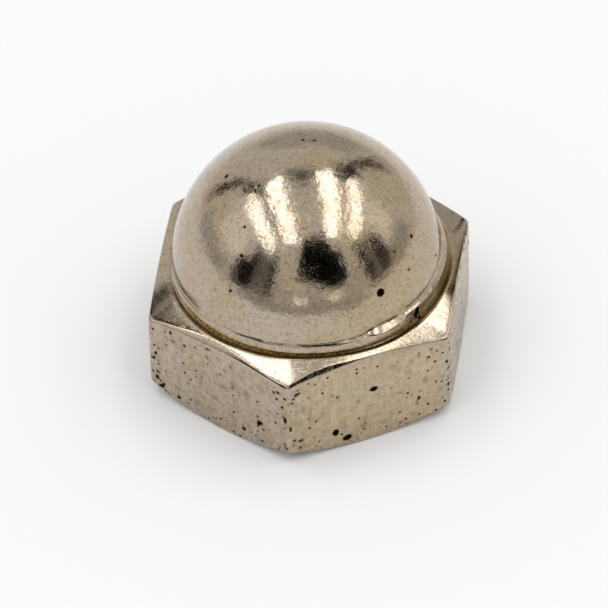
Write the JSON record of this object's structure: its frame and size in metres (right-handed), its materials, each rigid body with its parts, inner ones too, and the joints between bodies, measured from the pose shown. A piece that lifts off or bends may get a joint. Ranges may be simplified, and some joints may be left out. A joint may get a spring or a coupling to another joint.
{
  "type": "cap nut",
  "caption": "Domed cap nut: a chamfered hexagon with a grooved collar and a ball-shaped cap over a blind threaded hole, worn nickel plate.",
  "frame": {"origin": "centre of the bearing face, on the thread's axis", "axes": "+Z along the thread's axis to the top of the dome; two corners of the hexagon on +Y and -Y, two flats facing +X and -X"},
  "size_m": [0.017, 0.0196, 0.0144],
  "materials": {
    "nickel_plate": "satin nickel plate over steel, scratched and pitted"
  },
  "bodies": {
    "root": {"cap_nut": "nickel_plate"}
  },
  "joints": []
}
